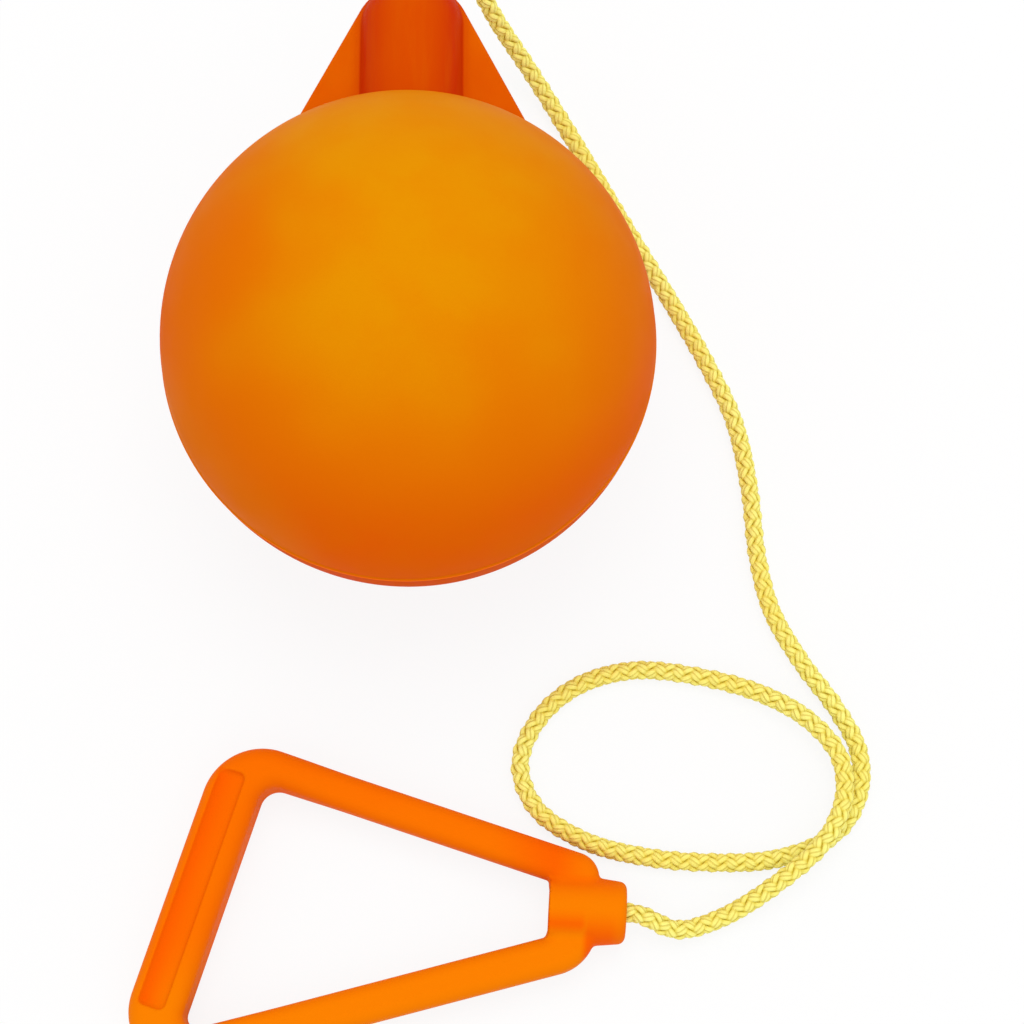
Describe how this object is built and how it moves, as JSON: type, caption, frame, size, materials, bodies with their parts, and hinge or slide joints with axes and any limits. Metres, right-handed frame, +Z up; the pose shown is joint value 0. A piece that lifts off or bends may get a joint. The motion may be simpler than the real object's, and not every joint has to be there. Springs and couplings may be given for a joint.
{
  "type": "throwing hammer",
  "caption": "Soft training hammer for throwing: a hollow ball with a winged neck, a braided rope in a loose loop and a stirrup handle, lying on the ground.",
  "frame": {"origin": "on the ground, under the middle of the box round the ball, its neck and the handle, the rope left out", "axes": "+Z up, +Y along the neck from the ball to its mouth, +X to the side where the rope lies"},
  "size_m": [0.2555, 0.3975, 0.1645],
  "materials": {
    "soft_ball": "satin",
    "neck_vinyl": "satin",
    "handle_plastic": "satin",
    "yellow_rope": "matte",
    "zinc": "satin"
  },
  "bodies": {
    "rope": {"rope": "yellow_rope", "neck_rope_knot": "yellow_rope", "handle_rope_stop": "yellow_rope"},
    "neck_washer": {"neck_washer": "zinc"},
    "ball": {"ball_lower_shell": "soft_ball", "ball_upper_shell": "soft_ball", "neck": "neck_vinyl"},
    "handle_washer": {"handle_washer": "zinc"},
    "handle": {"handle": "handle_plastic"}
  },
  "joints": [
    {"name": "ball_slide", "type": "slide", "parent": "rope", "child": "neck_washer", "axis": [0, 1, 0], "range_m": [0, 0.006]},
    {"name": "ball_swivel", "type": "hinge", "parent": "neck_washer", "child": "ball", "pos_m": [0.00598, 0.05309, 0.082], "axis": [0, 1, 0], "continuous": true},
    {"name": "handle_slide", "type": "slide", "parent": "rope", "child": "handle_washer", "axis": [0.9986, -0.0523, 0], "range_m": [0, 0.006]},
    {"name": "handle_swivel", "type": "hinge", "parent": "handle_washer", "child": "handle", "pos_m": [0.07958, -0.13021, 0.0115], "axis": [0.9986, -0.0523, 0], "continuous": true}
  ]
}
